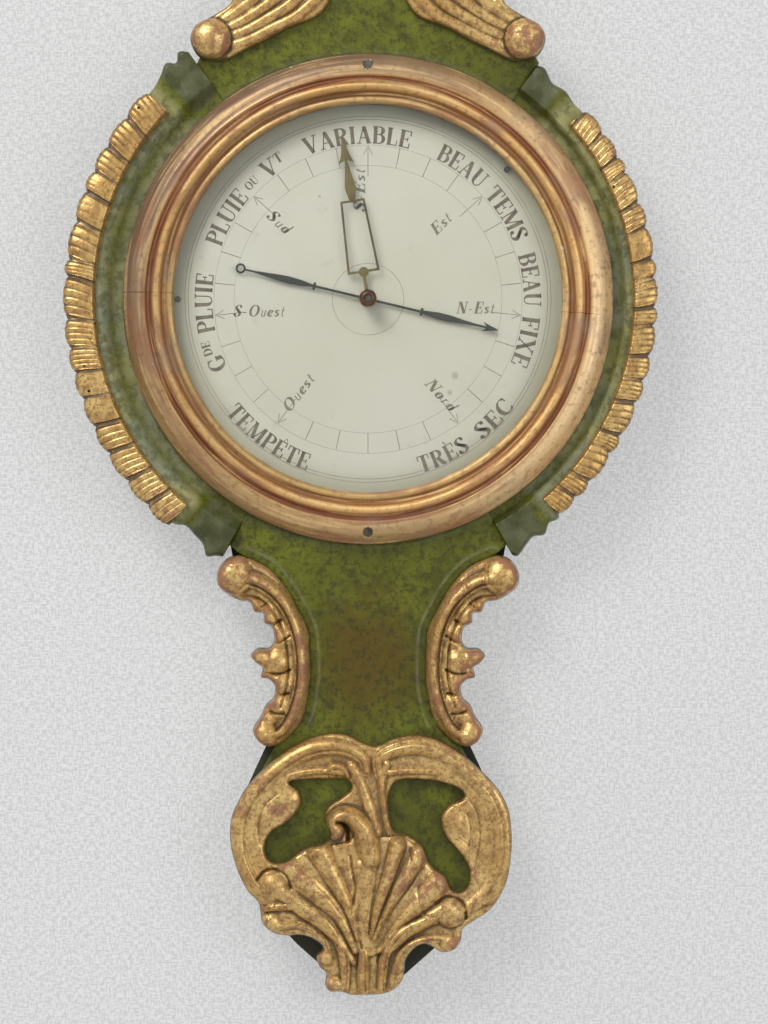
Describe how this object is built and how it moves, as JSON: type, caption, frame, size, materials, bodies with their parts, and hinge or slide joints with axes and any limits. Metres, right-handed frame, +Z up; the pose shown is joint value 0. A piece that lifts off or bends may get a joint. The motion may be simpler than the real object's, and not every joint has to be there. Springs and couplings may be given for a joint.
{
  "type": "wall barometer",
  "caption": "Carved wall barometer in green paint and gilding, with a round glazed dial, an indicator hand, a set hand on a knob, and an aneroid movement behind.",
  "frame": {"origin": "on the wall plane, at the middle of the rear cover, on the axis of the dial", "axes": "+Z up, +Y into the wall, so the dial faces -Y; +X to the right of someone facing the dial"},
  "size_m": [0.3804, 0.0503, 0.9605],
  "materials": {
    "green_paint": "aged green paint under wax",
    "gilding": "worn water gilding over red bole on carved wood",
    "bare_wood": "bare aged softwood",
    "brass": "tarnished",
    "steel": "dull",
    "blued_steel": "dark blued",
    "paper": "aged printed paper",
    "glass": "thin flat glass"
  },
  "bodies": {
    "case": {"aneroid_capsule": "steel", "arbor_chain": "steel", "back_board": "bare_wood", "bezel_ring": "gilding", "bezel_screw_bottom": "steel", "bezel_screw_top": "steel", "cartouche_frame": "gilding", "cartouche_shell": "gilding", "crest_scroll_left": "gilding", "crest_scroll_right": "gilding", "crest_shell": "gilding", "dial_paper": "paper", "dial_plate": "brass", "dial_screw_left": "steel", "dial_screw_right": "steel", "dial_seat_ring": "bare_wood", "gilt_band_left": "gilding", "gilt_band_right": "gilding", "glass": "glass", "glass_retainer": "bare_wood", "hairspring": "steel", "hanger_plate": "steel", "hanger_screw_left": "steel", "hanger_screw_right": "steel", "lower_bridge": "brass", "lower_neck_panel": "green_paint", "lower_scroll_left": "gilding", "lower_scroll_right": "gilding", "movement_base_plate": "brass", "movement_pillar_1": "brass", "movement_pillar_2": "brass", "movement_pillar_3": "brass", "rear_cover": "brass", "rear_cover_screw_1": "steel", "rear_cover_screw_2": "steel", "rear_cover_screw_3": "steel", "rocker_frame": "brass", "set_hand_bush": "brass", "spring_stand": "brass", "upper_bridge": "brass", "upper_leaf_left": "gilding", "upper_leaf_right": "gilding", "upper_neck_panel": "green_paint", "wing_left": "green_paint", "wing_right": "green_paint"},
    "indicator": {"indicator_hand": "blued_steel", "indicator_arbor": "steel", "arbor_drum": "brass"},
    "setting_hand": {"set_hand": "brass", "set_hand_arbor": "brass", "set_hand_knob": "brass"},
    "rocker": {"rocker_shaft": "steel", "rocker_long_arm": "steel", "rocker_short_arm": "steel"},
    "spring_and_lever": {"main_spring": "steel", "main_lever": "brass", "capsule_stud": "brass"},
    "calibration": {"calibration_screw": "brass"},
    "hanger": {"hanging_ring": "steel"}
  },
  "joints": [
    {"name": "pointer_spin", "type": "hinge", "parent": "case", "child": "indicator", "pos_m": [0, -0.0352, 0], "axis": [0, 1, 0], "range_deg": [-253.5, 46.5]},
    {"name": "set_hand_spin", "type": "hinge", "parent": "case", "child": "setting_hand", "pos_m": [0, -0.042, 0], "axis": [0, 1, 0], "continuous": true},
    {"name": "rocker_turn", "type": "hinge", "parent": "case", "child": "rocker", "pos_m": [0.035, -0.0166, 0], "axis": [0, 0, 1], "range_deg": [-9.4, 50.2]},
    {"name": "lever_tilt", "type": "hinge", "parent": "case", "child": "spring_and_lever", "pos_m": [-0.034, -0.0167, 0], "axis": [0, 0, 1], "range_deg": [-2.65, 0.5]},
    {"name": "calibration_turn", "type": "hinge", "parent": "case", "child": "calibration", "pos_m": [0, -0.003, -0.038], "axis": [0, 1, 0], "range_deg": [-360, 360]},
    {"name": "ring_swing", "type": "hinge", "parent": "case", "child": "hanger", "pos_m": [0, -0.0042, 0.49], "axis": [1, 0, 0], "range_deg": [0, 90]}
  ],
  "couplings": [
    {"joint": "rocker_turn", "follows": "pointer_spin", "ratio": -0.1964},
    {"joint": "lever_tilt", "follows": "pointer_spin", "ratio": 0.01018}
  ]
}
